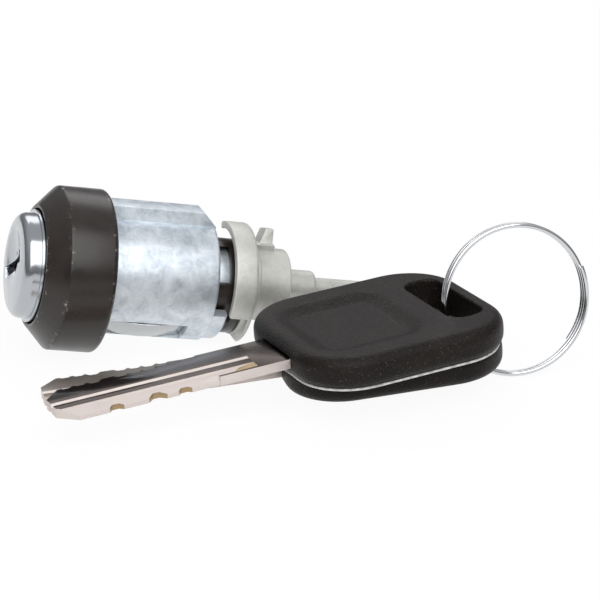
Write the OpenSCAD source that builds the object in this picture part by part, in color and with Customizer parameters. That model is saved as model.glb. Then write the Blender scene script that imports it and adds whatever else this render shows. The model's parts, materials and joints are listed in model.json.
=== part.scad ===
// Ignition lock cylinder with its two keys on a split ring, lying on a flat surface.
// Millimetres, +Z up. The origin is on the lock axis, in the plane of the bezel's back face.
// The lock axis runs along +X to the tail and dips, as the lock rests on its bezel and drum.
// Lock pieces are drawn with x across, y up and z along the lock axis, then laid down by in_lock().

/* [Bezel] */
// Outer diameter of the bezel
bezel_d = 33; // [31:0.5:36]
// Length of the bezel's straight part
bezel_len = 9.5; // [8.5:0.5:12]
// Length of the bezel's coned front
bezel_cone = 4; // [3.4:0.2:5]
// Outer diameter of the bezel's front lip
lip_d = 24.6; // [24.2:0.2:27]
// Opening in the bezel for the face cap
opening_d = 23.2; // [22.8:0.1:23.8]
// Radius on the bezel's back edge
bezel_edge = 1; // [0.5:0.1:1.5]
// Radius where cone and straight part of the bezel meet
bezel_brow = 0.8; // [0.4:0.1:1.5]

/* [Barrel] */
// Diameter of the barrel
barrel_d = 24.8; // [24.2:0.2:27]
// Length of the barrel behind the bezel
barrel_len = 22.1; // [21.8:0.1:30]
// Length of the barrel inside the bezel
spigot_len = 9.6; // [9:0.2:10.4]
// Gap between the barrel and the bezel's bore
bezel_gap = 0.05; // [0.02:0.01:0.1]
// Radius of the barrel's back edge
barrel_edge = 0.6; // [0.2:0.1:1]
// Height of the rib's flat top above the lock axis
rib_h = 14.7; // [13.8:0.1:15.5]
// Width of the rib
rib_w = 5.8; // [4:0.2:8]
// Length of the slope at the rib's back end
rib_ramp = 2.6; // [1:0.2:5]
// Width of the flat pocket for the leaf
pocket_w = 7; // [6.6:0.2:9]
// Distance of the pocket's floor from the lock axis
pocket_floor = 10.7; // [10.3:0.1:11.2]
// Wall left behind the pocket
pocket_wall = 4.6; // [3:0.2:6]
// Middle of the pocket, in degrees below the horizontal on the near side
pocket_angle = 50; // [45:1:60]
// Length of the lug behind the barrel
lug_len = 3.1; // [2:0.1:3.2]
// Start of the lug, in degrees below the horizontal on the near side
lug_from = 20; // [10:1:30]
// Angle that the lug spans
lug_span = 48; // [30:1:60]
// Radial thickness of the lug
lug_t = 2.8; // [2:0.1:3.2]
// Step from the barrel down to the lug
lug_step = 0.5; // [0.2:0.1:0.8]

/* [Retaining leaf] */
// Width of the leaf
leaf_w = 6.2; // [5:0.2:6.4]
// Thickness of the leaf
leaf_t = 0.4; // [0.3:0.05:0.6]
// Height of the leaf's bow
leaf_bow = 1.1; // [0.6:0.1:1.3]
// Gap between the leaf's ends and the pocket's end walls
leaf_gap = 0.3; // [0.1:0.1:0.6]

/* [Plug] */
// Diameter of the plug
plug_d = 16.4; // [16.2:0.1:17]
// Running gap around the plug
plug_gap = 0.05; // [0.02:0.01:0.09]
// Diameter of the plug's front head
plug_head_d = 20.2; // [18:0.2:21]
// Gap between the plug's head and the barrel
head_gap = 0.1; // [0.05:0.05:0.2]
// Turn of the keyway from upright, clockwise as the key's user sees it
key_angle = 55; // [0:5:90]
// How far the key turns
turn_range = 110; // [60:5:120]
// Width of the tongue that drives the tail
tongue_w = 9; // [7:0.5:10]
// Thickness of the tongue
tongue_t = 5; // [4:0.2:6]
// Length of the tongue
tongue_len = 6.6; // [6:0.2:8]

/* [Face cap] */
// Diameter of the face cap
cap_d = 21.2; // [20:0.2:21.6]
// How far the face cap stands out of the bezel
cap_out = 4.2; // [3.6:0.1:4.6]
// Thickness of the face cap
cap_t = 4.4; // [4.2:0.1:4.8]
// Radius around the face
cap_edge = 2; // [1:0.1:2.2]
// Height of the dome on the face
cap_dome = 0.5; // [0.2:0.1:0.9]
// Thickness of the cap's flange
flange_t = 0.8; // [0.5:0.1:0.9]
// Gap between the flange and the bezel's opening
flange_gap = 0.3; // [0.2:0.05:0.4]
// Radius of the scoop's rim on the face
scoop_r = 6; // [4:0.2:6.4]
// Depth of the scoop
scoop_depth = 1.1; // [0.6:0.1:1.2]
// Offset of the scoop from the key slot
scoop_offset = 2.4; // [1:0.2:3]

/* [Shutter] */
// Thickness of the shutter's flap
flap_t = 0.6; // [0.4:0.1:0.7]
// Overlap of the flap past the key slot
flap_over = 0.6; // [0.4:0.1:0.8]
// Diameter of the shutter's pin
shutter_pin_d = 1; // [0.8:0.1:1.1]
// Wall of the flap's knuckle around its pin
knuckle_wall = 0.4; // [0.3:0.05:0.45]
// Running gap of the shutter's pin
shutter_gap = 0.03; // [0.01:0.01:0.06]
// Room around the shutter
shutter_room = 0.4; // [0.3:0.05:0.5]
// Wire of the shutter's spring
shutter_wire = 0.3; // [0.2:0.05:0.35]

/* [Wafers] */
// Number of wafers
wafer_count = 7; // [5:1:7]
// Distance between wafers
wafer_pitch = 2.75; // [2.5:0.05:2.9]
// Thickness of a wafer
wafer_t = 1; // [0.8:0.1:1.2]
// Width of a wafer
wafer_w = 6.4; // [6:0.2:7]
// Gap between a wafer and its slot
wafer_gap = 0.08; // [0.04:0.02:0.12]
// Width of the ear that the spring lifts
ear_w = 2; // [1.8:0.1:2.2]
// Thickness of the ear
ear_t = 1.2; // [0.8:0.1:1.6]
// Outer diameter of a wafer spring
spring_d = 1.6; // [1.4:0.1:1.7]
// Wire of a wafer spring
spring_wire = 0.3; // [0.25:0.05:0.35]
// Length of a wafer spring
spring_len = 4.4; // [3.6:0.2:5]

/* [Pins and clip] */
// Diameter of the stop pin
stop_pin_d = 1.8; // [1.4:0.1:2]
// How far the stop pin stands out of the plug
stop_pin_out = 1.4; // [1:0.1:1.6]
// Length of the stop pin
stop_pin_len = 5; // [4:0.5:6]
// Room around the stop pin in its groove
stop_gap = 0.2; // [0.1:0.05:0.3]
// Wall between the stop pin and the retaining clip's seat
stop_wall = 1; // [0.6:0.1:1.2]
// Thickness of the retaining clip
clip_t = 0.8; // [0.6:0.1:1]
// Radial width of the retaining clip
clip_w = 1.8; // [1.6:0.1:2]
// Room around the retaining clip
clip_gap = 0.1; // [0.05:0.05:0.15]
// Diameter of the drive pin
drive_pin_d = 2.5; // [2:0.1:3]

/* [Neck sleeve] */
// Step from the plug's bore out to the sleeve's seat
sleeve_step = 0.6; // [0.4:0.1:1]
// Wall of the neck sleeve
sleeve_wall = 1.35; // [1:0.05:1.8]
// Running gap between the sleeve and the neck
sleeve_gap = 0.05; // [0.02:0.01:0.09]
// Depth of the sleeve's seat in the barrel
sleeve_seat = 2.2; // [1.8:0.1:3]
// Top of the sleeve's window above the lock axis
window_top = 8.2; // [6:0.2:8.4]
// Bottom of the sleeve's window above the lock axis
window_bottom = 2; // [1:0.1:3]
// Thickness of the sleeve's flange inside the drum
cuff_t = 1.8; // [1:0.1:2]

/* [Tail] */
// Gap between the barrel and the drum
drum_gap = 3.4; // [3.4:0.1:5]
// How far the drum's surface lies inside the barrel's
drum_inset = 0.1; // [0.05:0.05:0.6]
// Wall of the drum
drum_wall = 1.5; // [1.2:0.1:2]
// Depth of the drum's cup
drum_depth = 3; // [2:0.2:4]
// Thickness of the drum's web
drum_web = 1.8; // [1.4:0.1:2.4]
// Radius of the drum's back edge
drum_edge = 0.7; // [0.3:0.1:1]
// Angle of the notch in the drum's wall
notch_span = 80; // [50:5:110]
// How far the notch runs on into the web
notch_over = 0.8; // [0.2:0.1:1]
// Start of the gap through the drum, in degrees above the horizontal on the far side
gap_from = 22; // [10:1:40]
// Angle of the gap through the drum
gap_span = 46; // [30:1:60]
// Diameter of the step behind the drum
step_d = 17.4; // [16:0.2:19]
// Length of the step
step_len = 1.7; // [1:0.1:3]
// Diameter of the hub
hub_d = 15; // [14:0.2:15.8]
// Length of the hub
hub_len = 6.9; // [6:0.1:9]
// Diameter of the collar
collar_d = 7; // [6.4:0.2:10]
// Length of the collar
collar_len = 6.8; // [5:0.2:10]
// Diameter of the tail shaft
shaft_d = 4.4; // [4:0.2:5.6]
// Length of the tail shaft
shaft_len = 14.8; // [8:0.2:18]
// Chamfer on the shaft's end
shaft_chamfer = 0.5; // [0.2:0.1:1]
// Height of the fin above the lock axis
fin_h = 11.6; // [10:0.2:12.2]
// Width of the fin
fin_w = 4.2; // [3:0.2:6]
// Thickness of the fin at its top
fin_t = 1.6; // [1.2:0.1:2.2]
// Slope of the fin's front face, along the axis
fin_slope = 1.8; // [0.4:0.1:2.2]
// Angle of the shoulder that carries the fin
shoulder_span = 44; // [40:2:70]
// Length of the shoulder
shoulder_len = 3.8; // [3.4:0.2:5.6]
// Turn of the shoulder and its fin from the top to the far side, in degrees
fin_turn = 14; // [0:1:20]

/* [Keys] */
// Length of the key's head
head_len = 43.6; // [40:0.2:47]
// Width of the key's head
head_w = 39; // [36:0.2:43]
// Thickness of the key's head
head_t = 6.4; // [5.6:0.2:8]
// Corner radius of the key's head, seen from above
head_corner = 11.8; // [9:0.2:13]
// Edge radius of the key's head
head_edge = 2.4; // [1.5:0.1:2.6]
// Depth of the thumb recess
recess_depth = 1.2; // [0.6:0.1:1.4]
// Distance of the thumb recess from the head's sides
recess_margin = 6.4; // [5:0.2:8]
// Distance of the thumb recess from the head's blade end
recess_front = 4; // [3:0.2:6]
// Distance of the thumb recess from the ring hole
recess_back = 5; // [4:0.2:7]
// Width of the slope around the thumb recess
recess_slope = 3.2; // [2:0.1:4]
// Length of the ring hole, across the head
hole_len = 22; // [18:0.5:24]
// Width of the ring hole
hole_w = 7.4; // [6:0.2:8]
// Corner radius of the ring hole
hole_corner = 3; // [1.5:0.1:3]
// Wall between the ring hole and the head's end
hole_wall = 3.6; // [3:0.2:5]
// Length of the blade's neck, in front of the head
neck_len = 14.5; // [12:0.5:18]
// Length of the cut part of the blade
bit_len = 31.4; // [30:0.1:33]
// Width of the blade
blade_w = 11.6; // [10:0.2:12]
// Thickness of the blade
blade_t = 1.9; // [1.7:0.1:2.3]
// Width of the milled land along the blade's edge
land_w = 2.6; // [2:0.1:3]
// Step from the blade's face down to the land
land_step = 0.45; // [0.3:0.05:0.6]
// Drop of the land at the blade's edge
land_drop = 1; // [0.7:0.1:1.1]
// Width of the rib between groove and land
ridge_w = 2.2; // [1.6:0.1:2.6]
// Width of the groove's floor
groove_w = 0.5; // [0.4:0.1:0.8]
// Depth of the groove
groove_depth = 0.6; // [0.4:0.05:0.7]
// How far the groove ends in front of the head
groove_end = 6; // [4:0.5:8]
// How far the land ends in front of the head
land_end = 6; // [4:0.5:8]
// Step of the neck past the blade's edge
neck_step = 0.35; // [0.32:0.01:0.6]
// Width of the blunt tip
tip_w = 4.8; // [3:0.2:6]
// Distance of the first cut from the tip
first_cut = 5.2; // [4.8:0.1:6]
// Flat width of a cut
cut_flat = 1.3; // [1:0.1:1.6]
// Gap between the key and the keyway
key_gap = 0.3; // [0.2:0.05:0.4]
// Length of the tang inside the head
tang_len = 12; // [8:0.5:16]
// Gap between the two stacked heads
stack_gap = 0.15; // [0.1:0.05:0.3]
// Rise of the keys towards the ring, in degrees
stack_pitch = 4; // [3.6:0.2:5]

/* [Split ring] */
// Outer diameter of the split ring
ring_d = 30.4; // [29:0.2:32]
// Diameter of the ring's wire
ring_wire = 1; // [0.8:0.1:1.2]
// Lean of the ring from upright, in degrees
ring_lean = 10; // [6:1:14]

/* [Rest] */
// Dip of the lock's axis towards the tail, in degrees
dip = 10.4; // [8:0.2:12]

/* [Hidden] */
$fn = 96;
slack = 0.1;                     // extra reach of a cut past the face that it opens
zinc = "#b9c0c4";
brass = "#b08d4f";
spring_steel = "#9a9da0";
soft_black = "#2a2826";
// cut depths of the key from its tip, on the near edge and on the far edge
near_cuts = [0, 0, 0.8, 0, 0, 1.2, 0, 0.7];
far_cuts = [0.4, 0.5, 0.9, 0, 0.8, 0.8, 0.9, 0.5];

// places along the lock axis, from the bezel's back face
lip_z = -(bezel_len + bezel_cone);
face_z = lip_z - cap_out;
cap_back_z = face_z + cap_t;
barrel_front_z = -spigot_len;
keyway_end_z = face_z + bit_len + 2 * key_gap;
seat_z = barrel_len - sleeve_seat - clip_t - 2 * clip_gap;
stop_pin_z = seat_z - stop_wall - stop_pin_d / 2;
sleeve_z = barrel_len - sleeve_seat;
drum_z = barrel_len + drum_gap;
cup_z = drum_z + drum_depth;
web_z = cup_z + drum_web;
hub_z = web_z + step_len;
collar_z = hub_z + hub_len;
shaft_z = collar_z + collar_len;
tip_z = shaft_z + shaft_len;
sleeve_end_z = cup_z - leaf_gap;
drive_pin_z = cup_z + tongue_len - drive_pin_d;

// radii of the lock
barrel_r = barrel_d / 2;
drum_d = barrel_d - 2 * drum_inset;
bore_r = plug_d / 2 + plug_gap;
seat_r = bore_r + sleeve_step;
sleeve_r = seat_r - bezel_gap;
neck_r = sleeve_r - sleeve_wall - sleeve_gap;
groove_r = seat_r - clip_gap - clip_w;
scoop_sphere_r = (scoop_r * scoop_r + scoop_depth * scoop_depth) / (2 * scoop_depth);

// the keyway and the shutter behind the key slot
slot_w = blade_t + 2 * key_gap;
slot_h = blade_w + 2 * key_gap;
knuckle_r = shutter_pin_d / 2 + shutter_gap + knuckle_wall;
hinge_x = -(slot_w / 2 + knuckle_r);
hinge_z = cap_back_z - knuckle_r;
flap_h = slot_h + 2 * flap_over;
flap_reach = slot_w / 2 + flap_over;
flap_front_z = hinge_z - knuckle_r;
shutter_swing_r = norm([flap_reach - hinge_x, knuckle_r]);
room_h = flap_h + 2 * shutter_room;

// the stop pin and its arc groove, on the far side of the barrel
stop_from = -50;
stop_side = asin((stop_pin_d / 2 + stop_gap) / bore_r);

// the sleeve's flange covers the near side and the bottom of the drum
cuff_from = 126.4;
cuff_span = 171.7;

// the pocket, lug and notch on the near side
near_side = 180;
pocket_len = barrel_len - pocket_wall;
pocket_turn = near_side + pocket_angle;

// how the lock rests on its bezel and on the flat under its drum
floor_z = -bezel_d / 2 * cos(dip) + bezel_edge * sin(dip);
drum_flat = -floor_z / cos(dip) - web_z * tan(dip);

// how the keys lie: the lower tip and the ring carry them
key_z = head_t / 2;
blade_len = neck_len + bit_len;
lower_place = [28.93, -28.91];
lower_yaw = -3.4;
upper_place = [26.24, -40.81];
upper_yaw = 9.2;
key_lift = (blade_len * cos(lower_yaw) + tip_w / 2 * abs(sin(lower_yaw))) * sin(stack_pitch)
    - (head_t - blade_t) / 2 * cos(stack_pitch);
hole_x = head_len - hole_wall - hole_w / 2;

// the ring passes up through both holes
ring_r = (ring_d - ring_wire) / 2;
ring_step = ring_wire + 0.05;
ring_place = [75.3, -37.4];
ring_from = -40;
ring_turns = 2.17;
ring_z = floor_z + ring_d / 2 * cos(ring_lean) + ring_turns * ring_step / 2 * sin(ring_lean);

wafer_names = [for (i = [1:wafer_count]) str("wafer_", i)];
spring_names = [for (i = [1:wafer_count]) str("wafer_spring_", i)];

function unit(v) = v / norm(v);
function flat(p) = [p.x, p.y];
// the arc that rounds the corner at b between a and c
function corner(a, b, c, r, n) = let (
        u = unit(a - b), v = unit(c - b), half = acos(u * v) / 2,
        middle = b + unit(u + v) * r / sin(half),
        first = b + u * r / tan(half) - middle, last = b + v * r / tan(half) - middle,
        a0 = atan2(first.y, first.x), sweep = (atan2(last.y, last.x) - a0 + 540) % 360 - 180)
    [for (i = [0:n]) let (t = a0 + sweep * i / n) middle + r * [cos(t), sin(t)]];
// an outline whose points carry their corner radius as a third number
function rounded(p, n = 5) = [for (i = [0:len(p) - 1]) let (
        a = flat(p[(i + len(p) - 1) % len(p)]), b = flat(p[i]), c = flat(p[(i + 1) % len(p)]))
    each (p[i].z > 0 ? corner(a, b, c, p[i].z, n) : [b])];
function wafer_z(i) = face_z + bit_len - first_cut - (i - 1) * wafer_pitch;

// lock pieces laid down on the surface
module in_lock() { rotate([0, dip, 0]) rotate([90, 0, 90]) children(); }
// pieces that turn with the key, drawn with the keyway upright
module in_plug() { in_lock() rotate([0, 0, key_angle]) children(); }
// an outline of radius and place along the axis, turned to a solid
module turned(profile) { rotate_extrude() polygon(rounded(profile)); }
// an outline of place along the axis and height, given a width across
module across(w) { rotate([0, -90, 0]) linear_extrude(w, center = true) children(); }
// a block between two corners
module block(a, b) { translate(a) cube(b - a); }
// a round bar along the y direction
module bar_y(d, y0, y1) { translate([0, y0, 0]) rotate([-90, 0, 0]) cylinder(d = d, h = y1 - y0); }

// a wire coil about z: rise(t) gives its height, with t from 0 to 1 along the wire
module coil(r, wire, turns, sides, per_turn, rise) {
    steps = ceil(turns * per_turn);
    points = [for (i = [0:steps], j = [0:sides - 1]) let (
            a = 360 * turns * i / steps, b = 360 * j / sides, q = r + wire / 2 * cos(b))
        [q * cos(a), q * sin(a), rise(i / steps) + wire / 2 * sin(b)]];
    walls = [for (i = [0:steps - 1], j = [0:sides - 1]) let (
            k = (j + 1) % sides, p = i * sides, n = p + sides)
        each [[p + j, n + k, p + k], [p + j, n + j, n + k]]];
    ends = [for (j = [1:sides - 2]) each [[0, j, j + 1],
        [steps * sides, steps * sides + j + 1, steps * sides + j]]];
    polyhedron(points, concat(walls, ends));
}

module bezel() {
    color(soft_black) in_lock() turned([
        [opening_d / 2, lip_z, 0], [lip_d / 2, lip_z, 0.2], [bezel_d / 2, -bezel_len, bezel_brow],
        [bezel_d / 2, 0, bezel_edge], [barrel_r + bezel_gap, 0, 0],
        [barrel_r + bezel_gap, barrel_front_z, 0], [opening_d / 2, barrel_front_z, 0]]);
}

// the flat pocket under the barrel, as an outline along the axis
module pocket_outline() { translate([0, pocket_floor]) square([pocket_len, barrel_d]); }

module rib() {
    across(rib_w) polygon([[0, neck_r], [0, rib_h], [barrel_len - rib_ramp, rib_h],
        [barrel_len, rib_h - rib_ramp], [barrel_len, neck_r]]);
}

module lug() {
    rotate(near_side + lug_from) rotate_extrude(angle = lug_span) polygon(rounded([
        [barrel_r - lug_t, barrel_len - barrel_edge - slack, 0], [barrel_r - lug_step, barrel_len - barrel_edge - slack, 0],
        [barrel_r - lug_step, barrel_len + lug_len, lug_t / 3], [barrel_r - lug_t, barrel_len + lug_len, 0]]));
}

// grooves in the bore that the wafers spring into when the key is out
module wafer_grooves() {
    rotate(key_angle) block(
        [-wafer_w / 2 - wafer_gap, -bore_r - wafer_t, wafer_z(wafer_count) - wafer_t],
        [wafer_w / 2 + wafer_gap, bore_r + wafer_t, wafer_z(1) + wafer_t]);
}

// arc groove that the stop pin runs in
module stop_groove() {
    rotate(stop_from - stop_side) rotate_extrude(angle = turn_range + 2 * stop_side)
        translate([bore_r - slack, stop_pin_z - stop_pin_d / 2 - stop_gap])
            square([stop_pin_out + stop_gap + slack, stop_pin_d + 2 * stop_gap]);
}

module barrel() {
    color(zinc) in_lock() difference() {
        union() {
            turned([[0, barrel_front_z, 0], [barrel_r, barrel_front_z, 0],
                [barrel_r, barrel_len, barrel_edge], [0, barrel_len, 0]]);
            rib();
            lug();
        }
        translate([0, 0, barrel_front_z - slack]) cylinder(r = bore_r, h = barrel_len + spigot_len);
        translate([0, 0, seat_z]) cylinder(r = seat_r, h = barrel_len);
        rotate(pocket_turn - 90) across(pocket_w) pocket_outline();
        wafer_grooves();
        stop_groove();
    }
}

// bowed strip, seated at both ends on the pocket's floor
module retaining_leaf() {
    run = pocket_len - 2 * leaf_gap;
    steps = 24;
    arch = [for (i = [0:steps]) [leaf_gap + run * i / steps, pocket_floor + leaf_bow * sin(180 * i / steps)]];
    top = [for (i = [steps:-1:0]) arch[i] + [0, leaf_t]];
    color(spring_steel) in_lock() rotate(pocket_turn - 90) across(leaf_w) polygon(concat(arch, top));
}

module neck_sleeve() {
    color(soft_black) in_lock() difference() {
        union() {
            translate([0, 0, sleeve_z]) cylinder(r = sleeve_r, h = sleeve_end_z - sleeve_z);
            rotate(cuff_from) rotate_extrude(angle = cuff_span) translate([neck_r, sleeve_end_z - cuff_t - slack])
                square([drum_d / 2 - drum_wall - leaf_gap - neck_r, cuff_t]);
        }
        translate([0, 0, sleeve_z - slack]) cylinder(r = neck_r + sleeve_gap, h = sleeve_end_z);
        block([-2 * sleeve_r, window_bottom, barrel_len + leaf_gap], [0, window_top, drum_z]);
    }
}

// room for one wafer, its ear and its spring
module wafer_room(i) {
    translate([0, 0, wafer_z(i)]) {
        block([-wafer_w / 2 - wafer_gap, -plug_d, -wafer_t / 2 - wafer_gap],
            [wafer_w / 2 + wafer_gap, plug_d, wafer_t / 2 + wafer_gap]);
        block([0, -spring_len / 2, -wafer_t / 2 - wafer_gap],
            [wafer_w / 2 + ear_w + wafer_gap, spring_len / 2 + 2 * ear_t, wafer_t / 2 + wafer_gap]);
        translate([wafer_w / 2 + ear_w / 2, 0, 0])
            bar_y(spring_d + 2 * wafer_gap, -spring_len / 2, spring_len / 2);
    }
}

module shutter_space(z1) {
    block([hinge_x - knuckle_r - shutter_room, -room_h / 2, flap_front_z - shutter_room / 2],
        [flap_reach + shutter_room, room_h / 2, z1]);
}

module plug() {
    color(zinc) in_plug() difference() {
        union() {
            translate([0, 0, cap_back_z]) cylinder(d = plug_head_d, h = barrel_front_z - head_gap - cap_back_z);
            translate([0, 0, cap_back_z]) cylinder(d = plug_d, h = seat_z - cap_back_z);
            translate([0, 0, cap_back_z]) cylinder(r = neck_r, h = cup_z - cap_back_z);
            rotate(-key_angle) block([-tongue_w / 2, -tongue_t / 2, seat_z],
                [tongue_w / 2, tongue_t / 2, cup_z + tongue_len]);
        }
        block([-slot_w / 2, -slot_h / 2, cap_back_z - slack], [slot_w / 2, slot_h / 2, keyway_end_z]);
        shutter_space(hinge_z + shutter_swing_r + shutter_room / 2);
        for (i = [1:wafer_count]) wafer_room(i);
        translate([0, 0, seat_z]) difference() {
            cylinder(r = seat_r, h = clip_t + clip_gap);
            translate([0, 0, -slack]) cylinder(r = groove_r, h = clip_t + clip_gap + 2 * slack);
        }
        rotate(-key_angle) stop_pin_bar();
        rotate(-key_angle) drive_pin_bar();
    }
}

module face_cap() {
    color("#d8dadc") in_plug() difference() {
        turned([[0, face_z, 0], [cap_d / 4, face_z + cap_dome / 4, 0],
            [cap_d / 2, face_z + cap_dome, cap_edge], [cap_d / 2, cap_back_z - flange_t, 0],
            [opening_d / 2 - flange_gap, cap_back_z - flange_t, 0],
            [opening_d / 2 - flange_gap, cap_back_z, 0], [0, cap_back_z, 0]]);
        translate([scoop_offset, 0, face_z + scoop_depth - scoop_sphere_r]) sphere(r = scoop_sphere_r);
        block([-slot_w / 2, -slot_h / 2, face_z - slack], [slot_w / 2, slot_h / 2, cap_back_z + slack]);
        shutter_space(cap_back_z + slack);
        translate([hinge_x, 0, hinge_z])
            bar_y(shutter_pin_d + 2 * shutter_gap, -room_h / 2 - shutter_pin_d, room_h / 2 + shutter_pin_d);
    }
}

module shutter() {
    knuckle_h = flap_h - 6 * shutter_wire;
    color(spring_steel) in_plug() difference() {
        union() {
            block([hinge_x, -flap_h / 2, flap_front_z], [flap_reach, flap_h / 2, flap_front_z + flap_t]);
            translate([hinge_x, 0, hinge_z]) bar_y(2 * knuckle_r, -flap_h / 2, knuckle_h - flap_h / 2);
        }
        translate([hinge_x, 0, hinge_z]) bar_y(shutter_pin_d + 2 * shutter_gap, -flap_h, flap_h);
        translate([hinge_x, knuckle_h - flap_h / 2, hinge_z])
            bar_y(2 * knuckle_r + shutter_room, 0, flap_h);
    }
}

module shutter_pin() {
    color(spring_steel) in_plug() translate([hinge_x, 0, hinge_z])
        bar_y(shutter_pin_d, -room_h / 2 - shutter_pin_d, room_h / 2 + shutter_pin_d);
}

module shutter_spring() {
    turns = 3.4;
    length = 6 * shutter_wire - 2 * shutter_wire;
    color(spring_steel) in_plug()
        translate([hinge_x, flap_h / 2 - 6 * shutter_wire + 1.5 * shutter_wire, hinge_z]) rotate([-90, 0, 0])
            coil(shutter_pin_d / 2 + shutter_gap + shutter_wire / 2, shutter_wire, turns, 6, 14,
                function (t) t * length);
}

module stop_pin_bar() {
    rotate(stop_from) translate([plug_d / 2 + stop_pin_out - stop_pin_len, 0, stop_pin_z])
        rotate([0, 90, 0]) cylinder(d = stop_pin_d, h = stop_pin_len);
}

module stop_pin() { color(spring_steel) in_lock() stop_pin_bar(); }

module retaining_clip() {
    color(spring_steel) in_lock() rotate(-60) rotate_extrude(angle = 300)
        translate([groove_r + clip_gap / 4, seat_z + clip_gap / 2]) square([clip_w, clip_t]);
}

module drive_pin_bar() {
    translate([0, 0, drive_pin_z]) bar_y(drive_pin_d, -hub_d / 2 + 0.4, hub_d / 2 - 1.4);
}

module drive_pin() { color(spring_steel) in_lock() drive_pin_bar(); }

// radial fin on its shoulder, at the top of the hub
module fin() {
    fin_z = hub_z + shoulder_len - fin_t - 2 * slack;
    rotate(90 - shoulder_span / 2 - fin_turn) rotate_extrude(angle = shoulder_span)
        translate([tongue_w / 2, hub_z - slack]) square([step_d / 2 - tongue_w / 2, shoulder_len + slack]);
    rotate(-fin_turn) intersection() {
        across(fin_w) polygon(rounded([[fin_z - fin_slope, hub_d / 2 - 1, 0], [fin_z, fin_h, 0.4],
            [fin_z + fin_t, fin_h, 0.4], [fin_z + fin_t, hub_d / 2 - 1, 0]]));
        translate([0, 0, hub_z]) cylinder(r = fin_h, h = shoulder_len);
    }
}

module tail() {
    color("#d2d0ca") in_lock() difference() {
        union() {
            turned([[0, cup_z, 0], [drum_d / 2 - drum_wall, cup_z, 0], [drum_d / 2 - drum_wall, drum_z, 0.2],
                [drum_d / 2, drum_z, 0.4], [drum_d / 2, web_z, drum_edge], [step_d / 2, web_z, 0],
                [step_d / 2, hub_z, 0.4], [hub_d / 2, hub_z, 0], [hub_d / 2, collar_z, 0.5],
                [collar_d / 2, collar_z, 0], [collar_d / 2, shaft_z, 0.8], [shaft_d / 2, shaft_z, 0],
                [shaft_d / 2, tip_z - shaft_chamfer, 0], [shaft_d / 2 - shaft_chamfer, tip_z, 0], [0, tip_z, 0]]);
            fin();
        }
        rotate(near_side + lug_from) rotate_extrude(angle = notch_span)
            translate([drum_d / 2 - drum_wall - slack, drum_z - slack])
                square([2 * drum_wall, drum_depth + notch_over + slack]);
        rotate(gap_from) rotate_extrude(angle = gap_span) translate([step_d / 2 + slack, drum_z - slack])
            square([drum_d, web_z - drum_z + 2 * slack]);
        block([-drum_d, -drum_d, drum_z - slack], [drum_d, -drum_flat, web_z]);
        block([-tongue_w / 2, -tongue_t / 2, cup_z - slack], [tongue_w / 2, tongue_t / 2, cup_z + tongue_len]);
        drive_pin_bar();
    }
}

// a brass plate with a window that fits the key at this cut, and an ear for its spring
module wafer(i) {
    low = -blade_w / 2 + near_cuts[i - 1] - key_gap;
    high = blade_w / 2 - far_cuts[i - 1] + key_gap;
    color(brass) in_plug() translate([0, 0, wafer_z(i) - wafer_t / 2]) difference() {
        union() {
            intersection() {
                cylinder(d = plug_d - 2 * wafer_gap, h = wafer_t);
                block([-wafer_w / 2, -plug_d, 0], [wafer_w / 2, plug_d, wafer_t]);
            }
            block([0, spring_len / 2, 0], [wafer_w / 2 + ear_w, spring_len / 2 + ear_t, wafer_t]);
        }
        block([-slot_w / 2, low, -slack], [slot_w / 2, high, wafer_t + slack]);
    }
}

module wafer_spring(i) {
    length = spring_len - spring_wire;
    color(spring_steel) in_plug()
        translate([wafer_w / 2 + ear_w / 2, -length / 2, wafer_z(i)]) rotate([-90, 0, 0])
            coil((spring_d - spring_wire) / 2, spring_wire, 6, 6, 10, function (t) t * length);
}

// the surface that both keys lie in, raised towards the ring
module on_stack() {
    translate([lower_place.x, lower_place.y, floor_z + key_lift]) rotate([0, -stack_pitch, 0]) children();
}
module in_lower_key() { on_stack() rotate(lower_yaw) children(); }
module in_upper_key() {
    on_stack() translate([upper_place.x - lower_place.x, upper_place.y - lower_place.y, head_t + stack_gap])
        rotate(upper_yaw) children();
}

// places of the four corners of a rectangle
module at_corners(x0, x1, w) { for (x = [x0, x1], s = [-1, 1]) translate([x, s * w / 2, 0]) children(); }

// the tang that the head is moulded around
module tang() { block([0, -blade_w / 2, key_z - blade_t / 2], [tang_len, blade_w / 2, key_z + blade_t / 2]); }

// a flat block with round corners whose sides follow an outline of overhang and height
// each outline point moves the sides out by its first number, at the height of its second
module cushion(x0, x1, w, outline) {
    low = outline[0].y;
    high = outline[len(outline) - 1].y;
    right = [for (p = outline) [w / 2 + p.x, p.y]];
    left = [for (i = [len(outline) - 1:-1:0]) [-w / 2 - outline[i].x, outline[i].y]];
    back = [for (p = outline) [x1 + p.x, p.y]];
    front = [for (i = [len(outline) - 1:-1:0]) [x0 - outline[i].x, outline[i].y]];
    translate([x1, 0, 0]) rotate([90, 0, -90]) linear_extrude(x1 - x0) polygon(concat(right, left));
    rotate([90, 0, 0]) linear_extrude(w, center = true) polygon(concat(back, front));
    at_corners(x0, x1, w) rotate_extrude() polygon(concat([[0, low]], outline, [[0, high]]));
}

// sloped sides and a flat floor, cut into the top face
module thumb_recess() {
    r = head_corner / 2;
    over = slack * recess_slope / recess_depth;
    cushion(recess_front + r, hole_x - hole_w / 2 - recess_back - r, head_w - 2 * recess_margin - 2 * r, [
        [r - recess_slope, head_t - recess_depth], [r + over, head_t + slack]]);
}

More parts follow.
